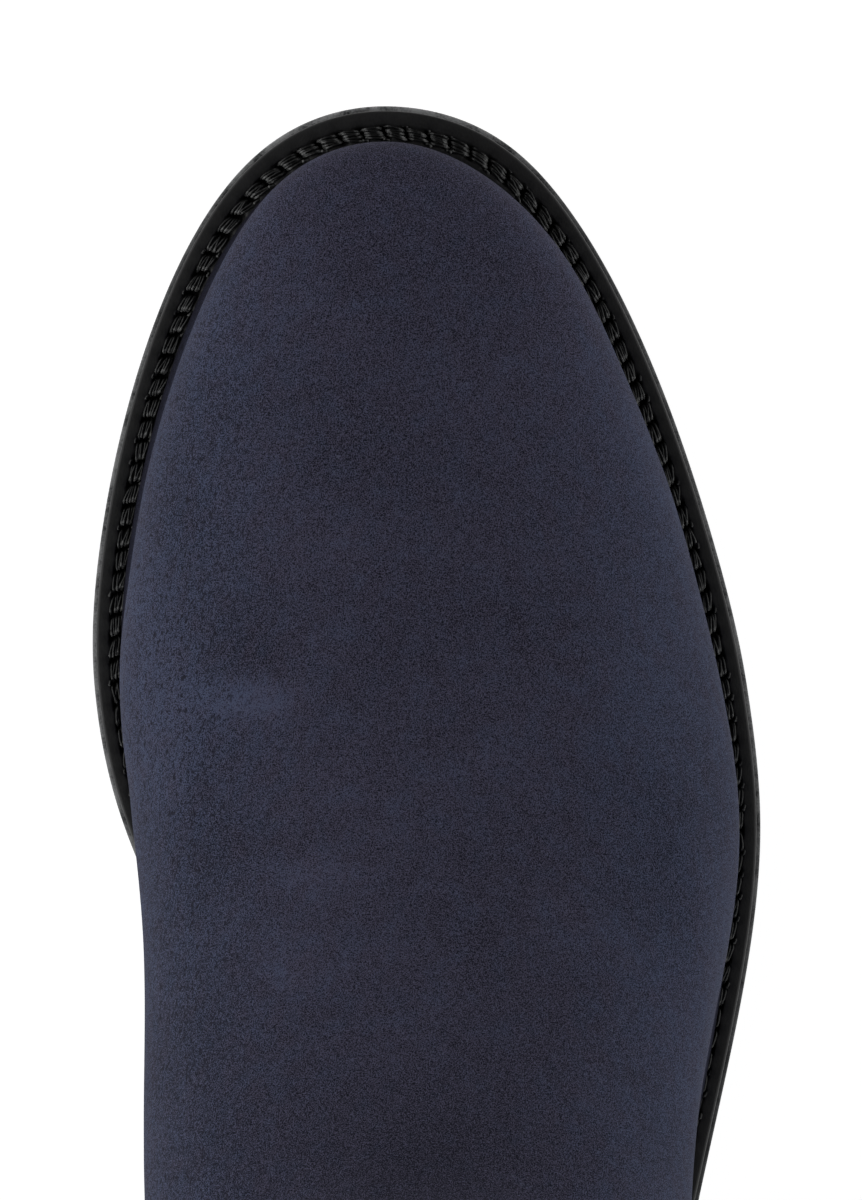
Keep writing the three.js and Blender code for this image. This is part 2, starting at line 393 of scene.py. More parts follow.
def upper_grid(turn, side_points):
    """The upper's outside as an array (ring, point, xyz). A ring starts at its turn-th place on the
    front line and ends on the back line at the same share of the height, its level. Its places
    along the boot go as half a cosine wave, down the inner side and back up the outer side."""
    turn = np.asarray(turn, float)
    start = front["y"](turn)
    z = foot_at(TOE) + front["z"](turn)
    level = np.clip((z - foot_at(start)) / (collar_at(start) - foot_at(start)), 0, 1)
    level[turn <= 0] = 0
    level[turn >= 1] = 1
    level, start = level[:, None], start[:, None]
    end = back["y"](foot_at(HEEL) + level * (collar_at(HEEL) - foot_at(HEEL)))
    share = half_wave((np.arange(side_points) + 0.5) / side_points)
    share = np.concatenate([share, share[::-1]])
    side = np.repeat([-1.0, 1.0], side_points)
    return upper_points(side, start + (end - start) * share, level, start, end)


def upper_points(side, y, level, start, end):
    """Points of the upper's outside on one side at y, on the ring of a level from start to end. The
    width grows from the foot to the widest line by a quarter sine, gives way to the shaft's above
    the ankle, and is rounded off to the front and back by quarter ellipses."""
    height = level * (collar_at(y) - foot_at(y))
    foot = on_side(sole_edge, side, y) - side * widest["margin"](y)
    share = np.sin(np.clip(height / widest["height"](y), 0, 1) * np.pi / 2)
    grown = foot + (on_side(widest, side, y) - foot) * share
    centre = middle["x"](y)
    ankle = ease((level - ANKLE_FROM) / (ANKLE_TO - ANKLE_FROM))
    width = grown + (side * shaft["half"](level) + centre - grown) * ankle
    front_from, back_from = shaft["front_from"](level), shaft["back_from"](level)
    toe = rounding((y - front_from) / (start - front_from))
    heel = rounding((back_from - y) / (back_from - end))
    x = centre + (width - centre) * toe * heel
    return np.stack(np.broadcast_arrays(x, y, foot_at(y) + height), -1)


def outward(grid):
    """Unit normals of a grid of rings, level at its first and last ring: the cross product of the
    step along the ring and the step to the next ring."""
    across = np.roll(grid, -1, 1) - np.roll(grid, 1, 1)
    up = np.gradient(grid, axis=0)
    normal = np.cross(across, up)
    normal[[0, -1], :, 2] = 0
    return unit(normal)


def creased(grid):
    """The grid pushed along its normals by the creases: each is its depth times a bell curve along
    its line and another across it."""
    push = np.zeros(grid.shape[:2])
    for *place, half_length, half_width, depth in CREASES:
        centre, along = np.array(place, float).reshape(2, 3)
        along = unit(along)
        away = grid - centre
        run = away @ along
        off = np.linalg.norm(away - run[..., None] * along, axis=2)
        push -= depth * np.exp(-((run / half_length) ** 2) - (off / half_width) ** 2)
    return grid + outward(grid) * push[..., None]


def make_mesh(name, points, *face_sets):
    """An object from points in millimetres and arrays of faces, one array for each face size."""
    corners = np.concatenate([faces.ravel() for faces in face_sets]).astype(np.int32)
    sizes = np.concatenate([np.full(len(faces), faces.shape[1]) for faces in face_sets])
    mesh = bpy.data.meshes.new(name)
    mesh.vertices.add(len(points))
    mesh.vertices.foreach_set("co", (np.asarray(points, np.float64) * MM).astype(np.float32).ravel())
    mesh.loops.add(len(corners))
    mesh.loops.foreach_set("vertex_index", corners)
    mesh.polygons.add(len(sizes))
    mesh.polygons.foreach_set("loop_start", np.r_[0, np.cumsum(sizes)[:-1]].astype(np.int32))
    mesh.polygons.foreach_set("use_smooth", np.ones(len(sizes), bool))
    mesh.update(calc_edges=True)
    piece = bpy.data.objects.new(name, mesh)
    bpy.context.scene.collection.objects.link(piece)
    return piece


def band(rings, count, closed):
    """Quads between successive rings of count points, numbered ring by ring, outward when the rings
    run anticlockwise and climb on the outside. closed joins the last ring to the first."""
    ring = np.arange(rings if closed else rings - 1)[:, None]
    k = np.arange(count)[None, :]
    low, high = ring * count, (ring + 1) % rings * count
    after = (k + 1) % count
    return np.stack([low + k, low + after, high + after, high + k], -1).reshape(-1, 4)


def point_values(piece, name, values):
    """A number for each point of a piece, which its material reads by name."""
    made = piece.data.attributes.new(name, "FLOAT", "POINT")
    made.data.foreach_set("value", np.asarray(values, np.float32).ravel())


def solid_of_rings(name, rings, closed, **values):
    """A piece from rings of equal length, with named values for its points. Where the last ring isn't
    joined to the first, both lie on the middle line, and the points that meet there are merged."""
    rings = np.asarray(rings)
    piece = make_mesh(name, rings.reshape(-1, 3), band(len(rings), rings.shape[1], closed))
    for value_name, numbers in values.items():
        point_values(piece, value_name, numbers)
    if not closed:
        work = bmesh.new()
        work.from_mesh(piece.data)
        bmesh.ops.remove_doubles(work, verts=work.verts, dist=MERGE * MM)
        work.to_mesh(piece.data)
        work.free()
    return piece


def finish_piece(piece, material, slot, *nodes, sharp=0.0):
    """Gives a piece its material, makes its edges sharp from an angle in degrees, hides the nodes it
    stands for, and lets it ride. The slot is not used."""
    piece.data.materials.append(material)
    if sharp:
        piece.data.set_sharp_from_angle(angle=np.radians(sharp))
    if nodes:
        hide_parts(*nodes)
    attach(piece, "root")


class Wire:
    """An output socket on which + - and * add Math nodes."""

    def __init__(self, shader, socket):
        self.shader = shader
        self.socket = socket

    def _math(self, operation, first, second):
        """A Math node of two numbers or wires."""
        return self.shader.node("ShaderNodeMath", {"operation": operation}, {0: first, 1: second})

    def __add__(self, other):
        return self._math("ADD", self, other)

    def __sub__(self, other):
        return self._math("SUBTRACT", self, other)

    def __mul__(self, other):
        return self._math("MULTIPLY", self, other)

    def __radd__(self, other):
        return self._math("ADD", other, self)

    def __rsub__(self, other):
        return self._math("SUBTRACT", other, self)

    def __rmul__(self, other):
        return self._math("MULTIPLY", other, self)


class Shader:
    """The node tree of a new material, filled by node() and closed by surface(), or of a world."""

    def __init__(self, name, world=False):
        self.owner = (bpy.data.worlds if world else bpy.data.materials).new(name)
        self.owner.use_nodes = True
        self.tree = self.owner.node_tree
        self.tree.nodes.clear()

    def node(self, kind, settings=None, sockets=None, output=0):
        """Adds a node: first its settings, then the values or wires of its sockets; returns the wire
        of one output."""
        made = self.tree.nodes.new(kind)
        for name, value in (settings or {}).items():
            setattr(made, name, value)
        for name, value in (sockets or {}).items():
            if isinstance(value, Wire):
                self.tree.links.new(value.socket, made.inputs[name])
            else:
                made.inputs[name].default_value = value
        return Wire(self, made.outputs[output]) if len(made.outputs) else None

    def place(self, stretch=(1, 1, 1)):
        """Object coordinates, stretched: a pattern on them is that much finer along each axis."""
        spot = self.node("ShaderNodeTexCoord", output="Object")
        return self.node("ShaderNodeVectorMath", {"operation": "MULTIPLY"}, {0: spot, 1: stretch})

    def noise(self, size, detail=2.0, stretch=(1, 1, 1), roughness=0.5):
        """A noise whose soft blots are about size millimetres across."""
        sockets = {"Vector": self.place(stretch), "Scale": 1 / (size * MM)}
        sockets |= {"Detail": detail, "Roughness": roughness}
        return self.node("ShaderNodeTexNoise", {"noise_dimensions": "3D"}, sockets)

    def step(self, value, low, high):
        """0 below low, 1 above high, and smooth between."""
        sockets = {"Value": value, "From Min": low, "From Max": high}
        return self.node("ShaderNodeMapRange", {"interpolation_type": "SMOOTHSTEP"}, sockets)

    def axis(self, vector, name):
        """One part of a vector: X, Y or Z."""
        return self.node("ShaderNodeSeparateXYZ", None, {0: vector}, output=name)

    def value(self, name):
        """The number that point_values gave each point under this name."""
        return self.node("ShaderNodeAttribute", {"attribute_name": name}, output="Fac")

    def outer_side(self):
        """0 up to the boot's middle, 1 from 30 mm on the outer side, and smooth between."""
        return self.step(self.axis(self.place(), "X"), 0.0, 0.03)

    def clamped(self, value):
        """The value held between 0 and 1."""
        return self.node("ShaderNodeClamp", None, {"Value": value})

    def mix(self, factor, first, second, blend="MIX"):
        """A mix of two colours."""
        sockets = {0: factor, 6: first, 7: second}
        return self.node("ShaderNodeMix", {"data_type": "RGBA", "blend_type": blend}, sockets, output=2)

    def bump(self, height, depth, strength, under=None):
        """A bump of the given depth in millimetres, on the one under it."""
        sockets = {"Height": height, "Distance": depth * MM, "Strength": strength}
        if under:
            sockets["Normal"] = under
        return self.node("ShaderNodeBump", None, sockets)

    def surface(self, **sockets):
        """Ends the tree in a Principled surface; a name's underscores stand for spaces."""
        named = {name.replace("_", " "): value for name, value in sockets.items()}
        shine = self.node("ShaderNodeBsdfPrincipled", None, named)
        self.node("ShaderNodeOutputMaterial", None, {"Surface": shine})
        return self.owner


def rgba(colour, share=1.0):
    """A colour with full alpha, its three values multiplied by share."""
    return (*[c * share for c in colour], 1.0)


def suede_material(colours):
    """Dyed suede: fine nap, soft blots where it was stroked, pale fibre ends, and dark flecks, most of
    them along the inner side. Painted shade darkens the foot in the crevice against the welt and
    one oval over the instep, and a painted tint of the sheen makes both sides a cooler navy."""
    s = Shader("suede")
    nap = s.noise(0.155, 1.0, (1, 0.75, 0.85))
    grain = s.noise(0.6, 2.0, (1, 0.7, 0.8), 0.6)
    stroked = s.noise(26.0, 2.0, (1, 1.2, 1))
    blots = s.noise(3.2, 2.0, (1, 0.8, 1), 0.6)
    fibres = s.step(s.noise(0.3, 1.0, (1, 0.25, 0.5)), 0.66, 0.76)
    # The inner side begins 18 to 36 mm off the middle, and both sides 10 to 35 mm off it, squared.
    across = s.axis(s.place(), "X")
    inner = 1 - s.step(across, -0.036, -0.018)
    sheen_tint_sides = s.step(across * across, 0.0001, 0.0012)
    pits = s.step(s.noise(0.6, 1.0, (1, 0.6, 1)), 0.57, 0.69) * (0.15 + inner * 0.75)
    nap_and_shade, foot = s.value("nap_and_shade"), s.value("foot")
    tone = (nap - 0.5) * (3.8 + inner) + (grain - 0.5) * 0.2
    tone = tone + (stroked - 0.5) * 0.4 + (blots - 0.5) * 0.3
    # The ovals lighten or darken the nap; the dark one over the instep is painted shade.
    tone = s.clamped(tone + nap_and_shade * (blots + 0.3) * 0.8 + 0.5)
    # Painted sheen: both sides take the cooler navy, the tint of their sheen.
    hue = s.clamped((blots - 0.5) * 2.0 + nap_and_shade * 0.5 + sheen_tint_sides * 0.6 + 0.15)
    colour = s.mix(hue, rgba(colours.suede_warm), rgba(colours.suede_cool))
    dark, light = (s.mix(1.0, colour, rgba((1, 1, 1), share), "MULTIPLY") for share in (0.2, 1.8))
    colour = s.mix(tone, dark, light)
    colour = s.mix(fibres * 0.3, colour, rgba(colours.suede_fibre))
    colour = s.mix(pits, colour, rgba(colours.suede_warm, 0.3))
    # Painted shade: the foot darkened in the crevice against the welt.
    colour = s.mix(foot * 0.95, colour, rgba(colours.suede_warm, 0.24))
    normal = s.bump(nap, 0.15, 0.6, s.bump(grain, 0.3, 0.3))
    return s.surface(
        Base_Color=colour, Roughness=1.0, Specular_IOR_Level=0.1, Sheen_Weight=0.06,
        Sheen_Roughness=0.5, Sheen_Tint=rgba(colours.suede_sheen), Normal=normal,
    )


def leather_material(name, colour, roughness, grain_size, depth):
    """Smooth dressed leather: a fine closed grain, cloudy tone and uneven polish."""
    s = Shader(name)
    sockets = {"Vector": s.place(), "Scale": 1 / (grain_size * MM), "Smoothness": 0.6}
    cells = s.node("ShaderNodeTexVoronoi", {"feature": "SMOOTH_F1"}, sockets)
    tone = s.mix(s.step(s.noise(9.0, 3.0), 0.3, 0.7), rgba(colour, 0.65), rgba(colour, 1.35))
    polish = roughness - 0.08 + s.noise(4.0, 3.0) * 0.16
    normal = s.bump(cells, depth, 0.6, s.bump(s.noise(2.2, 3.0), depth * 2, 0.3))
    return s.surface(Base_Color=tone, Roughness=polish, Specular_IOR_Level=0.45, Normal=normal)


def welt_material(colours):
    """Black waxed leather: smooth, with fine marks and a slightly cloudy polish. Its outer side is
    painted a little lighter, as painted light, and where hole is above 0, in the stitch holes, it is
    rougher and painted darker, as painted shade."""
    s = Shader("welt_leather")
    marks = s.noise(0.3, 2.0, (1, 0.6, 1))
    cloud = s.noise(5.0, 3.0)
    hole = s.value("hole")
    shade = s.clamped(cloud * 0.4 + (marks - 0.5) * 2.0 + 0.3)
    tone = s.mix(shade, rgba(colours.welt, 0.7), rgba(colours.welt, 1.7))
    # Painted light: the outer side a little lighter.
    tone = s.mix(s.outer_side() * 0.25, tone, rgba(colours.welt, 2.4))
    # Painted shade in the stitch holes, which are also made rougher.
    tone = s.mix(hole, tone, rgba(colours.welt, 0.1))
    polish = 0.36 + cloud * 0.18 + marks * 0.06 + hole * 0.4
    normal = s.bump(marks, 0.06, 0.5)
    return s.surface(Base_Color=tone, Roughness=polish, Specular_IOR_Level=0.35, Normal=normal)


def thread_material(name, colour, sheen, lightening=0.0):
    """Waxed twisted thread: fine fibres and a soft shine. Painted highlights make it paler towards a
    stitch's ends, where the strands turn down into the holes, and painted light makes it a little
    paler on the boot's outer side; the last argument sets how much of both."""
    s = Shader(name)
    fibres = s.noise(0.16, 2.0)
    twist = s.step(s.noise(0.45, 1.0), 0.35, 0.65)
    tip_highlight = s.value("tip_highlight")
    tone = s.mix(fibres, rgba(colour, 0.4), rgba(colour, 1.6))
    # Painted light: a little paler on the boot's outer side.
    tone = s.mix(s.outer_side() * (0.45 * lightening), tone, rgba(colour, 6))
    # Painted highlights at the strands' ends.
    tone = s.mix(tip_highlight * (twist * 0.7 + 0.3) * lightening, tone, rgba(colour, 44))
    normal = s.bump(fibres, 0.03, 0.6, s.bump(twist, 0.04, 0.6))
    return s.surface(Base_Color=tone, Roughness=0.36, Specular_IOR_Level=sheen, Normal=normal)


def rubber_material(name, colours):
    """Matt sole rubber: fine speckle, cloudy scuffs, and paler patches where ledge is above 0, painted
    light towards the toe.
    """
    s = Shader(name)
    speckle = s.noise(0.35, 2.0)
    cloud = s.noise(3.5, 4.0, roughness=0.65)
    ledge = s.value("ledge")
    tone = s.mix(cloud, rgba(colours.rubber), rgba(colours.rubber, 1.4))
    pale_patches = ledge * s.step(cloud * 0.7 + speckle * 0.3, 0.32, 0.62)
    tone = s.mix(pale_patches, tone, rgba(colours.ledge))
    normal = s.bump(speckle, 0.08, 0.6)
    polish = 0.62 + cloud * 0.2
    return s.surface(Base_Color=tone, Roughness=polish, Specular_IOR_Level=0.35, Normal=normal)


def heel_material(colours):
    """Stacked leather, inked black: thin level streaks of its layers and a burnished polish."""
    s = Shader("heel_leather")
    streaks = s.noise(0.5, 3.0, (0.06, 0.06, 1), 0.6)
    cloud = s.noise(6.0, 3.0)
    tone = s.mix(streaks, rgba(colours.heel), rgba(colours.heel, 2.2))
    normal = s.bump(streaks, 0.08, 0.6)
    polish = 0.4 + cloud * 0.2
    return s.surface(Base_Color=tone, Roughness=polish, Specular_IOR_Level=0.4, Normal=normal)


def length_property(name, description, default):
    """A length in metres."""
    return FloatProperty(name=name, description=description, default=default, unit="LENGTH")


def colour_property(name, description, *default):
    """A linear colour, given by its red, green and blue."""
    return FloatVectorProperty(
        name=name, description=description, default=default, size=3, subtype="COLOR"
    )


class BootSizes(PropertyGroup):
    """Sizes of what the scene adds to the frame."""

    stitch_pitch: length_property("Welt stitch pitch", "From one stitch to the next", 0.00328)
    stitch_length: length_property("Welt stitch length", "Length of a stitch that shows", 0.0029)
    stitch_width: length_property("Welt stitch width", "Width of a stitch's bundle", 0.00195)
    stitch_strands: IntProperty(
        name="Strands", description="Strands side by side in a welt stitch", default=5, min=1
    )
    groove_inset: length_property(
        "Groove inset", "From the sole's edge to the middle of the stitch groove", 0.00358
    )
    groove_toe: length_property(
        "Groove at the toe", "How much farther in the groove runs at the toe", 0.00045
    )
    suede_thickness: length_property("Suede", "Thickness of the suede without its lining", 0.0014)
    seam_pitch: length_property("Seam stitch pitch", "Pitch at the collar and the back seam", 0.0026)


class BootColours(PropertyGroup):
    """Colours of the boot's finishes, linear."""

    suede_warm: colour_property("Suede, warm", "Purplish navy of the nap", 0.0455, 0.0432, 0.0695)
    # The cooler navy is also the painted tint of the sheen on both sides of the suede.
    suede_cool: colour_property("Suede, cool", "Bluish navy of the nap", 0.039, 0.045, 0.077)
    suede_fibre: colour_property("Suede fibres", "Pale fibre ends", 0.12, 0.13, 0.18)
    suede_sheen: colour_property("Suede sheen", "Tint where the nap shines", 0.16, 0.18, 0.27)
    welt: colour_property("Welt", "Black of the welt", 0.0094, 0.0091, 0.0092)
    thread: colour_property("Welt thread", "Black waxed thread", 0.0045, 0.0045, 0.0044)
    seam_thread: colour_property("Seam thread", "Navy thread of the fine seams", 0.02, 0.022, 0.036)
    rubber: colour_property("Sole rubber", "Dark rubber of sole and heel", 0.014, 0.0145, 0.0155)
    # The ledge's pale grey; more of it shows at the toe's tip, as painted light.
    ledge: colour_property("Sole ledge", "Scuffed grey of the sole's upper edge", 0.365, 0.365, 0.365)
    heel: colour_property("Heel", "Inked black of the stacked heel", 0.007, 0.007, 0.0075)
    lining: colour_property("Lining", "Leather of the lining", 0.055, 0.046, 0.04)
    insole: colour_property("Insole", "Leather of the insole", 0.13, 0.1, 0.075)


def foot_shade_share(grid):
    """1 over the upper's lower rim, and a smooth step down to 0 above it, higher on the inner side:
    painted shade in the crevice where the upper meets the welt.
    """
    dark_height, plain_height = 1.0, 2.5 + 0.9 * inner_share(grid)
    return 1 - ease((above_foot(grid) - dark_height) / (plain_height - dark_height))


def suede_surface(rings, side_points):
    """The upper's outside with its creases, a flare where the foot is pressed against the welt,
    wider on the inner side, that dies away with height by a power, and a furrow down the back seam,
    a bell curve across the middle line. Rings are crowded at the foot: their turn goes as a power of
    their number."""
    inner_flare, outer_flare, flare_height, flare_power = 0.9, 0.35, 2.0, 1.5
    furrow_half, furrow_depth, crowding = 0.9, 0.45, 1.35
    turn = np.linspace(0, 1, rings) ** crowding
    grid = creased(upper_grid(turn, side_points))
    normal = outward(grid)
    fading = np.clip(1 - above_foot(grid) / flare_height, 0, 1) ** flare_power
    flare = (outer_flare + (inner_flare - outer_flare) * inner_share(grid)) * fading
    grid = grid + normal * [1, 1, 0] * flare[..., None]
    at_back = grid[..., 1] < COLLAR_MIDDLE
    furrow = furrow_depth * np.exp(-((from_middle(grid) / furrow_half) ** 2)) * at_back
    return grid - normal * furrow[..., None]


def rolled_shell(outer, thickness, steps=4):
    """Rings of a shell from an outer grid: up the outside, over a half-round top edge, and down the
    inside, one thickness in along the normals."""
    normal = outward(outer)
    inner = outer - normal * thickness
    half = thickness / 2
    up = np.array([0, 0, half])
    angle = np.linspace(0, np.pi, steps + 2)[1:-1, None, None]
    centre = (outer[-1] + inner[-1]) / 2 - up
    top = centre + normal[-1] * half * np.cos(angle) + up * np.sin(angle)
    lowered = np.stack([outer, inner])
    lowered[:, -1] -= up
    return np.concatenate([lowered[0], top, lowered[1, ::-1]])


def nap_ovals_and_shade(grid):
    """How much lighter or darker the nap is: the sum of soft ovals, each its strength times a bell
    curve in plan. Most are where the nap was stroked; the dark one over the instep is painted shade."""
    total = np.zeros(grid.shape[:2])
    for x, y, half_x, half_y, strength in NAP_OVALS_AND_SHADE:
        away = ((grid[..., 0] - x) / half_x) ** 2 + ((grid[..., 1] - y) / half_y) ** 2
        total += strength * np.exp(-away)
    return total


class BOOT_OT_upper(Operator):
    """Suede upper with its creases, turned edge and lining"""

    bl_idname = "boot.upper"
    bl_label = "Upper"

    def execute(self, context):
        sizes, colours = context.scene.boot_sizes, context.scene.boot_colours
        suede = sizes.suede_thickness / MM
        rings = rolled_shell(suede_surface(*SUEDE_GRID), suede)
        # Painted shade at the foot, in the crevice against the welt, and the nap's ovals.
        values = {"foot": foot_shade_share(rings), "nap_and_shade": nap_ovals_and_shade(rings)}
        piece = solid_of_rings("upper_shell", rings, True, **values)
        finish_piece(piece, suede_material(colours), "suede", "upper", sharp=60)

        # The lining ends below the suede's turned edge: its top rings are drawn down.
        lining_grid, lining_gap, lining_drop, drop_power = (80, 70), 0.05, 6.0, 12
        coarse = suede_surface(*lining_grid)
        outside = coarse - outward(coarse) * (suede + lining_gap)
        level = np.linspace(0, 1, len(outside))[:, None]
        outside[..., 2] -= lining_drop * level**drop_power
        lining = rolled_shell(outside, WALL - suede - lining_gap, 2)
        piece = solid_of_rings("upper_lining", lining, True)
        material = leather_material("lining_leather", colours.lining, 0.62, 0.8, 0.08)
        finish_piece(piece, material, "insole_leather", sharp=60)
        return {"FINISHED"}


class BOOT_OT_insole(Operator):
    """Insole with its leather sock, filling the inside of the welt's ring underneath"""

    bl_idname = "boot.insole"
    bl_label = "Insole"

    def execute(self, context):
        colours = context.scene.boot_colours
        side_points = 120
        foot = upper_grid([0, 1], side_points)[0][:, :2]
        ring = foot + inward(foot) * (WALL + 2 * FIT)
        filling = sole_loop(side_points)
        low = ring_at(filling, WELT_WIDTH + FIT, welt_bottom_at)
        rings = [narrowed(low, share) for share in (0, 0.5)]
        rings += [low, ring_at(filling, WELT_WIDTH + FIT, foot_at), ring_at(ring, 0, foot_at)]
        edge_round = 0.9
        for angle in np.radians((0, 30, 60, 90)):
            drop = edge_round * (1 - np.sin(angle))
            rings.append(ring_at(ring, edge_round * (1 - np.cos(angle)), raised(insole_top_at, -drop)))
        # The top, dished under the heel: the dish goes as 1 - share^2 and fades in over 40 mm.
        surface = rings[-1]
        dish, dish_from, dish_full, top_rings = 0.9, -40, 40, 13
        for share in np.linspace(1, 0, top_rings + 1)[1:]:
            inner = narrowed(surface, share)
            inner[:, 2] -= dish * (1 - share**2) * ease((dish_from - inner[:, 1]) / dish_full)
            rings.append(inner)
        piece = solid_of_rings("insole_sock", rings, False)
        material = leather_material("insole_leather", colours.insole, 0.55, 0.9, 0.1)
        finish_piece(piece, material, "insole_leather", "insole", sharp=50)
        return {"FINISHED"}


def line_frame(points, ups, closed):
    """The length of a line up to each of its points, and its place, up vector and side vector as
    functions of length."""
    if closed:
        points = np.concatenate([points, points[:1]])
        ups = np.concatenate([ups, ups[:1]])
    length = lengths(points)
    tangent = np.gradient(points, length, axis=0)
    if closed:
        tangent[0] = tangent[-1] = tangent[0] + tangent[-1]
    side = unit(np.cross(unit(tangent), ups))

    def sample(values, s):
        """The values at the lengths s, straight between the points."""
        s = np.mod(s, length[-1]) if closed else np.clip(s, 0, length[-1])
        return np.stack([np.interp(s, length, values[:, k]) for k in range(3)], -1)

    return length, lambda s: (sample(points, s), sample(ups, s), sample(side, s))


def thread_row(name, at, centres, length, width, strands, radius, dive, seed, slant=0.0, lean=0.0):
    """One mesh of stitches. Each is strands side by side; a strand is a tube along the line that
    sinks by the dive times a power of its share u of the half length. Its place across goes with
    the slant and is pinched at both ends, and its ends are set along the line by the lean times its
    place across. Lane is the strand's place in its bundle, -0.5 to 0.5. The tip value, a painted
    highlight, is 0 at the middle of a strand and grows near its ends, most at the end towards the
    heel."""
    random = np.random.default_rng(seed)
    strand_shape = (len(centres), strands, 1)

    def scatter(spread):
        """A bell-shaped random number for each strand."""
        return random.normal(0, spread, strand_shape)

    # How far each strand lies to the side, how far it is turned, how high it lies, and its length.
    aside_spread, turn_spread, height_spread, length_spread = 0.04, 0.09, 0.3, 0.05
    wobble, stray = scatter(aside_spread * width), scatter(turn_spread * width)
    lift, longer = scatter(height_spread * radius), 1 + scatter(length_spread)
    lane = np.linspace(-0.5, 0.5, strands) if strands > 1 else np.zeros(1)
    lane = np.broadcast_to(lane[:, None], strand_shape)
    if strands > 1:
        middle_shorter = 0.14
        longer = longer - middle_shorter * (1 - 4 * lane**2)
    run = np.array([-1, -0.92, -0.82, -0.68, -0.4, 0, 0.4, 0.68, 0.82, 0.92, 1])
    u = run * longer
    point, up, side = at(np.asarray(centres)[:, None, None] + u * length / 2 + lane * width * lean)
    pinched, pinch_power, dive_power = 0.22, 3, 5
    pinch = 1 - pinched * np.abs(u) ** pinch_power
    across = (lane * (width - 2 * radius) + wobble + stray * u) * pinch + slant * u
    height = lift - dive * np.abs(u) ** dive_power
    core = point + side * across[..., None] + up * height[..., None]
    tangent = unit(np.gradient(core, axis=2))
    normal = unit(up - tangent * np.sum(up * tangent, -1, keepdims=True))
    binormal = np.cross(tangent, normal)
    around = 6
    angle = np.arange(around)[:, None] / around * 2 * np.pi
    ring = normal[..., None, :] * np.cos(angle) + binormal[..., None, :] * np.sin(angle)
    points = (core[..., None, :] + radius * ring).reshape(-1, 3)
    start = np.arange(len(centres) * strands)[:, None] * (len(run) * around)
    tube = band(len(run), around, False)[:, ::-1]
    sides = (start[..., None] + tube).reshape(-1, 4)
    first = start + np.arange(around)
    last = first[:, ::-1] + (len(run) - 1) * around
    piece = make_mesh(name, points, sides, np.concatenate([first, last]))
    heelward = tangent[..., len(run) // 2, None, 1] * np.sign(run)
    tip_from, tip_full, tip_level = 0.5, 0.25, 0.75
    # Painted highlight where the strands turn down into the holes, most at the end towards the heel.
    tip_highlight = ease((np.abs(run) - tip_from) / tip_full) * np.clip(tip_level - heelward, 0, 1)
    point_values(piece, "tip_highlight", np.repeat(tip_highlight.ravel(), around))
    return piece


def groove_at(loop, sizes):
    """Inset of the stitch groove's middle from the sole's edge, a little more round the toe."""
    toe_from, toe_full = 110, 24
    return (sizes.groove_inset + sizes.groove_toe * ease((loop[:, 1] - toe_from) / toe_full)) / MM


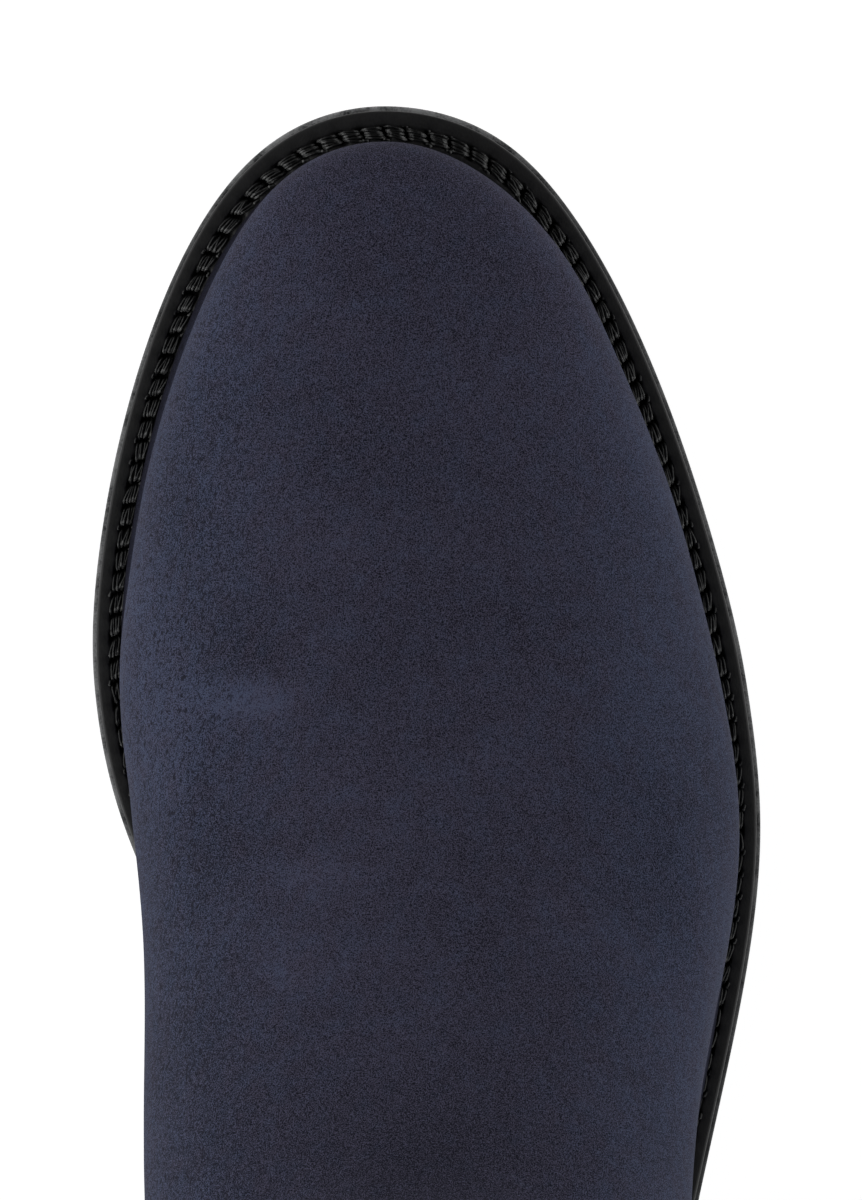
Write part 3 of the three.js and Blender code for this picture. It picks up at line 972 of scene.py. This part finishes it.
class BOOT_OT_welt(Operator):
    """Welt with its stitch groove, the holes in it and the bundles of waxed thread"""

    bl_idname = "boot.welt"
    bl_label = "Welt and stitches"

    def execute(self, context):
        sizes, colours = context.scene.boot_sizes, context.scene.boot_colours
        pitch = sizes.stitch_pitch / MM
        side_points, samples = 1500, 10
        dense = sole_loop(side_points)
        line = dense + inward(dense) * groove_at(dense, sizes)[:, None]
        around = np.linalg.norm(np.roll(line, -1, 0) - line, axis=1).sum()
        count = int(round(around / pitch)) * samples
        loop = evenly(np.column_stack([line, dense]), count)[:, 2:]
        inset = groove_at(loop, sizes)
        turn = np.arange(count) / samples * 2 * np.pi
        slant, half, hole_depth, hole_power = 0.3, 1.05, 1.3, 2.2
        # Across the welt's edge, inset from the sole's ledge, and then across the groove, from its
        # middle: drop below the top, and how much of a stitch hole's depth the place has. Along the
        # groove a hole goes as half a cosine wave, raised to a power.
        edge = [(0, WELT), (0, 0.4), (0.07, 0.18), (0.2, 0.06), (0.4, 0.0)]
        groove = [
            (-half - 0.3, 0.0, 0),
            (-half - 0.1, 0.0, 0.05),
            (-half + 0.05, 0.04, 0.4),
            (-half + 0.25, 0.14, 0.9),
            (-half + 0.5, 0.24, 1),
            (0, 0.3, 1),
            (half - 0.5, 0.28, 1),
            (half - 0.25, 0.24, 0.9),
            (half - 0.05, 0.16, 0.4),
            (half + 0.15, 0.1, 0.05),
            (half + 0.6, 0.1, 0),
        ]
        plain = np.zeros(count)
        toe_ledge, toe_from, toe_full = 0.15, 120, 12
        ledge = LEDGE + toe_ledge * ease((loop[:, 1] - toe_from) / toe_full)
        rings = [ring_at(loop, ledge + across, raised(welt_top_at, -drop)) for across, drop in edge]
        hole_shade = [plain] * len(edge)
        for across, drop, share in groove:
            ring = ring_at(loop, inset + across, welt_top_at)
            phase = turn + across * slant / pitch * 2 * np.pi
            hole = (np.cos(phase) * 0.5 + 0.5) ** hole_power
            ring[:, 2] -= drop + hole * share * hole_depth
            rings.append(ring)
            # How much painted shade each point in the holes takes.
            hole_shade.append(np.clip(hole * share * 2, 0, 1))
        # The flat part under the upper, and the inner edge.
        for across, drop in ((9.0, 0.1), (WELT_WIDTH, 0.1), (WELT_WIDTH, WELT)):
            rings.append(ring_at(loop, across, raised(welt_top_at, -drop)))
            hole_shade.append(plain)
        piece = solid_of_rings("welt_strip", rings, True, hole=hole_shade)
        finish_piece(piece, welt_material(colours), "welt_leather", "welt", sharp=45)

        centre = ring_at(loop, inset, welt_top_at)
        length, at = line_frame(centre, np.tile([0.0, 0.0, 1.0], (count, 1)), True)

        def beside(away, height):
            """The groove's line moved across by away, along by its slant, and up by height."""

            def moved(s):
                """Place, up vector and side vector at the lengths s."""
                point, up, side = at(s + away * slant)
                return point + side * away + up * height, up, side

            return moved

        thread = thread_material("welt_thread", colours.thread, 0.42, lightening=0.95)
        piece = thread_row(
            "welt_stitching", beside(0.0, 0.02), length[samples // 2 :: samples],
            sizes.stitch_length / MM, sizes.stitch_width / MM, sizes.stitch_strands, radius=0.21,
            dive=1.1, slant=0.15, lean=slant, seed=7,
        )
        finish_piece(piece, thread, "welt_leather")

        # Short turns of thread at both ends of some of the holes.
        turns, turns_shown = length[:-1:samples], 0.55
        for name, away, seed in (("hole_turns_outer", -half, 11), ("hole_turns_inner", half + 0.1, 13)):
            shown = turns[np.random.default_rng(seed).random(len(turns)) < turns_shown]
            piece = thread_row(
                name, beside(away, -0.1), shown, length=0.7, width=0.5, strands=1, radius=0.24,
                dive=0.25, slant=0.1, seed=seed,
            )
            finish_piece(piece, thread, "welt_leather")
        return {"FINISHED"}


def tread(ring, share):
    """Depth of the tread at a ring's points: fine slanted ribs across the forepart, half a cosine
    wave raised to a power, that fade out to the edge, the waist and the heel."""
    pitch, rib_slant, depth = 3.6, 0.25, 0.5
    rib_from, rib_to, fade = 12, 118, 8
    share_to, share_fade = 0.93, 0.06
    y = ring[:, 1]
    wave = np.cos((y + rib_slant * np.abs(ring[:, 0])) / pitch * 2 * np.pi) * 0.5 + 0.5
    zone = ease((y - rib_from) / fade) * ease((rib_to - y) / fade) * ease((share_to - share) / share_fade)
    return depth * wave**3 * zone


class BOOT_OT_outsole(Operator):
    """Outsole with its stepped edge, pale ledge, painted lighter at the toe, and ribbed tread"""

    bl_idname = "boot.outsole"
    bl_label = "Outsole"

    def execute(self, context):
        colours = context.scene.boot_colours
        side_points, count, bottom_rings, edge_round = 900, 720, 26, 1.1
        loop = evenly(sole_loop(side_points), count)
        bottom = ring_at(loop, edge_round, underside_at)
        rings = []
        for share in np.linspace(0, 1, bottom_rings):
            ring = narrowed(bottom, share)
            ring[:, 2] += tread(ring, share)
            rings.append(ring)
        paleness = [0.0] * len(rings)
        # Up the edge: inset from the sole's outline, height above the underside, paleness.
        edge = [
            (0.45, 0.25, 0),
            (0.12, 0.7, 0),
            (0.05, 1.3, 0.1),
            (0.05, 2.2, 0.1),
            (0.22, 2.35, 0),
            (0.22, 2.55, 0),
            (0.05, 2.7, 0.2),
            (0.0, 3.3, 0.3),
            (0.02, 4.1, 0.5),
            (0.1, 4.35, 0.8),
            (0.25, 4.47, 1.0),
            (0.6, OUTSOLE, 1.0),
            (2.0, OUTSOLE, 0),
        ]
        rings += [ring_at(loop, inset, raised(underside_at, height)) for inset, height, _ in edge]
        top = rings[-1]
        rings += [narrowed(top, share) for share in (0.5, 0)]
        paleness += [pale for _, _, pale in edge] + [0.0, 0.0]
        # Where the ledge is paler, its pale patches are stronger and reach farther down: that share times
        # the paleness raised to a power that falls with it. The rise at the toe's tip is painted light.
        lightening = on_side(ledge_paleness, from_middle(loop), loop[:, 1])
        power = 2 - 1.4 * lightening
        ledge = lightening * np.array(paleness)[:, None] ** power
        piece = solid_of_rings("outsole_sheet", rings, False, ledge=ledge)
        finish_piece(piece, rubber_material("sole_rubber", colours), "sole_rubber", "outsole", sharp=50)
        return {"FINISHED"}


def heel_rings(levels):
    """Rings of the heel at each (height, extra inset): the sole's outline from the breast back,
    drawn in, and its breast set back, in step with the distance from the sole."""
    side_points, rings = 110, []
    for height, extra in levels:
        z = height(np.array(HEEL)) if callable(height) else height
        drop = 1 - z / underside_at(HEEL)
        loop = sole_loop(side_points, BREAST - BREAST_RAKE * drop, blunt=True)
        rings.append(ring_at(loop, HEEL_TAPER * drop + extra, height))
    return rings


def capped(rings):
    """Rings with a floor and a roof: narrowed copies that end on the middle line."""
    low = [narrowed(rings[0], share) for share in (0, 0.5)]
    high = [narrowed(rings[-1], share) for share in (0.5, 0)]
    return [*low, *rings, *high]


class BOOT_OT_heel(Operator):
    """Stacked heel with its layers and the rubber top piece"""

    bl_idname = "boot.heel"
    bl_label = "Heel"

    def execute(self, context):
        colours = context.scene.boot_colours
        bottom = TOP_PIECE + FIT

        def between(share):
            """Height at a share of the way from the top piece up to the sole."""
            return lambda y: bottom + (underside_at(y) - FIT - bottom) * share

        # Share of the stack's 18 mm and inset: rounded rims, and a groove between each two layers.
        layers, groove_half, groove_depth = 3, 0.16 / 18, 0.22
        stack = [(0, 0.3), (0.015, 0.08), (0.03, 0.0)]
        for share in (layer / layers for layer in range(1, layers)):
            stack += [
                (share - groove_half, 0.0),
                (share - groove_half * 0.5, groove_depth),
                (share + groove_half * 0.5, groove_depth),
                (share + groove_half, 0.0),
            ]
        stack += [(0.97, 0.0), (0.985, 0.08), (1, 0.3)]
        levels = [(between(share), inset) for share, inset in stack]
        piece = solid_of_rings("heel_lifts", capped(heel_rings(levels)), False)
        finish_piece(piece, heel_material(colours), "heel_leather", "heel_stack", sharp=50)

        # Height and inset: rounded rims, and a groove half way up.
        levels = [(0.0, 0.5), (0.15, 0.15), (0.5, 0.0), (2.8, 0.0), (2.95, 0.2), (3.15, 0.2)]
        levels += [(3.3, 0.0), (TOP_PIECE - 0.4, 0.0), (TOP_PIECE - 0.1, 0.1), (TOP_PIECE, 0.35)]
        piece = solid_of_rings("heel_top_rubber", capped(heel_rings(levels)), False)
        material = rubber_material("heel_rubber", colours)
        finish_piece(piece, material, "sole_rubber", "heel_top_piece", sharp=50)
        return {"FINISHED"}


class BOOT_OT_seams(Operator):
    """Fine stitching round the collar and down both sides of the back seam"""

    bl_idname = "boot.seams"
    bl_label = "Seam stitching"

    def execute(self, context):
        sizes, colours = context.scene.boot_sizes, context.scene.boot_colours
        pitch = sizes.seam_pitch / MM
        thread = thread_material("seam_thread", colours.seam_thread, 0.35)
        shown, sink, below_collar, beside_seam = 0.86, 0.02, 4.0, 2.2
        stitch = {"length": pitch * shown, "width": 0.4, "strands": 1, "radius": 0.2, "dive": 0.5}

        grid = suede_surface(*SUEDE_GRID)
        normal = outward(grid)
        below = collar_at(grid[:, 0, 1]) - grid[:, 0, 2]
        row = len(grid) - 1 - np.argmax(below[::-1] > below_collar)
        run, at = line_frame(grid[row] - normal[row] * sink, normal[row], True)
        number = int(run[-1] / pitch)
        places = (np.arange(number) + 0.5) * run[-1] / number
        piece = thread_row("collar_stitching", at, places, seed=3, **stitch)
        finish_piece(piece, thread, "suede")

        # On both sides of the back seam: each ring's point and normal at one distance from it.
        half, reach = grid.shape[1] // 2, 40
        both = np.concatenate([grid, normal], -1)
        for name, nearby in (
            ("back_seam_inner", both[:, half - reach : half]),
            ("back_seam_outer", both[:, half : half + reach]),
        ):
            line = []
            for ring in nearby:
                away = np.abs(from_middle(ring))
                order = np.argsort(away)
                line.append([np.interp(beside_seam, away[order], part[order]) for part in ring.T])
            points, ups = np.split(np.array(line)[2 : row - 1], 2, axis=1)
            ups = unit(ups)
            run, at = line_frame(points - ups * sink, ups, False)
            places = pitch + np.arange(int((run[-1] - pitch) / pitch)) * pitch
            piece = thread_row(name, at, places, seed=5, **stitch)
            finish_piece(piece, thread, "suede")
        return {"FINISHED"}


def add_area_light(name, place, target, size, power, colour):
    """A soft light with the size (width, height) in metres, that looks at target."""
    data = bpy.data.lights.new(name, "AREA")
    data.shape = "RECTANGLE"
    data.size, data.size_y = size
    data.energy = power
    data.color = colour
    light = bpy.data.objects.new(name, data)
    light.location = place
    look = Vector(target) - Vector(place)
    light.rotation_euler = look.to_track_quat("-Z", "Y").to_euler()
    bpy.context.scene.collection.objects.link(light)


def studio_world():
    """Surroundings like a tent lit from the left and right: as bright as the direction points
    sideways, more so on the inner side, and dim between. Near the horizon a pale band goes round,
    brightest at the sides."""
    sides, between, skew, band_sides, band_between = 1.3, 0.1, 0.26, 0.55, 0.3
    s = Shader("studio", world=True)
    direction = s.node("ShaderNodeTexCoord", output="Generated")
    across = s.axis(direction, "X")
    rise = s.axis(direction, "Z")
    sideways = across * across
    dome = between + s.step(sideways, 0.1, 0.5) * (sides - between) - across * skew
    band = band_between + s.step(sideways, 0.0, 0.5) * (band_sides - band_between)
    strength = dome + (1 - s.step(rise, 0.06, 0.16)) * (band - dome)
    sky = {"Color": (0.98, 0.99, 1.0, 1), "Strength": strength}
    s.node("ShaderNodeOutputWorld", None, {"Surface": s.node("ShaderNodeBackground", None, sky)})
    return s.owner


class BOOT_OT_stage(Operator):
    """Pale floor, soft studio light and the camera straight above the forepart"""

    bl_idname = "boot.stage"
    bl_label = "Stage"

    def execute(self, context):
        scene = context.scene
        floor_half, floor_grey, floor_glow = 4000.0, 0.35, 0.92
        corners = np.array([(-1, -1, 0), (1, -1, 0), (1, 1, 0), (-1, 1, 0)]) * floor_half
        floor = make_mesh("floor", corners, np.array([[0, 1, 2, 3]]))
        paint = Shader("floor_paint").surface(
            Base_Color=rgba((1, 1, 1), floor_grey), Roughness=0.9, Specular_IOR_Level=0.0,
            Emission_Color=rgba((1, 1, 1)), Emission_Strength=floor_glow,
        )
        floor.data.materials.append(paint)

        scene.world = studio_world()
        target, light_size, daylight = (0.0, 0.02, 0.05), (1.4, 0.9), (0.97, 0.98, 1.0)
        add_area_light("light_inner", (-1.5, 0.1, 0.6), target, light_size, 1.2, daylight)
        add_area_light("light_outer", (1.5, 0.1, 0.6), target, light_size, 0.3, daylight)

        # The photograph's frame and its scale at the height of the welt.
        pixels_high, pixels_per_mm = 1200, 6.73
        centre = (0.74, 62.7)
        distance, welt_height = 2600.0, 10.0
        data = bpy.data.cameras.new("camera")
        data.sensor_width = 36.0
        data.lens = data.sensor_width * distance / (pixels_high / pixels_per_mm)
        data.clip_start, data.clip_end = 0.01, 20.0
        camera = bpy.data.objects.new("camera", data)
        camera.location = (centre[0] * MM, centre[1] * MM, (distance + welt_height) * MM)
        scene.collection.objects.link(camera)
        scene.camera = camera
        scene.view_settings.view_transform = "Standard"
        scene.view_settings.look = "None"
        return {"FINISHED"}


OPERATORS = (
    BOOT_OT_stage,
    BOOT_OT_upper,
    BOOT_OT_insole,
    BOOT_OT_welt,
    BOOT_OT_outsole,
    BOOT_OT_heel,
    BOOT_OT_seams,
)


class BOOT_PT_parts(Panel):
    """Lists the boot's pieces and sizes"""

    bl_idname = "BOOT_PT_parts"
    bl_label = "Suede ankle boot"
    bl_space_type = "VIEW_3D"
    bl_region_type = "UI"
    bl_category = "Boot"

    def draw(self, context):
        for operator in OPERATORS:
            self.layout.operator(operator.bl_idname)
        for group in (context.scene.boot_sizes, context.scene.boot_colours):
            for name in group.__annotations__:
                self.layout.prop(group, name)


CLASSES = (BootSizes, BootColours, *OPERATORS, BOOT_PT_parts)


def register():
    """Adds the classes and, to each scene, the sizes and colours."""
    for made in CLASSES:
        bpy.utils.register_class(made)
    bpy.types.Scene.boot_sizes = PointerProperty(type=BootSizes)
    bpy.types.Scene.boot_colours = PointerProperty(type=BootColours)


def unregister():
    """Takes away what register added, in reverse."""
    del bpy.types.Scene.boot_colours
    del bpy.types.Scene.boot_sizes
    for made in reversed(CLASSES):
        bpy.utils.unregister_class(made)


def main():
    """Builds the scene."""
    register()
    bpy.ops.boot.stage()
    bpy.ops.boot.upper()
    bpy.ops.boot.insole()
    bpy.ops.boot.welt()
    bpy.ops.boot.outsole()
    bpy.ops.boot.heel()
    bpy.ops.boot.seams()


if __name__ == "__main__":
    main()
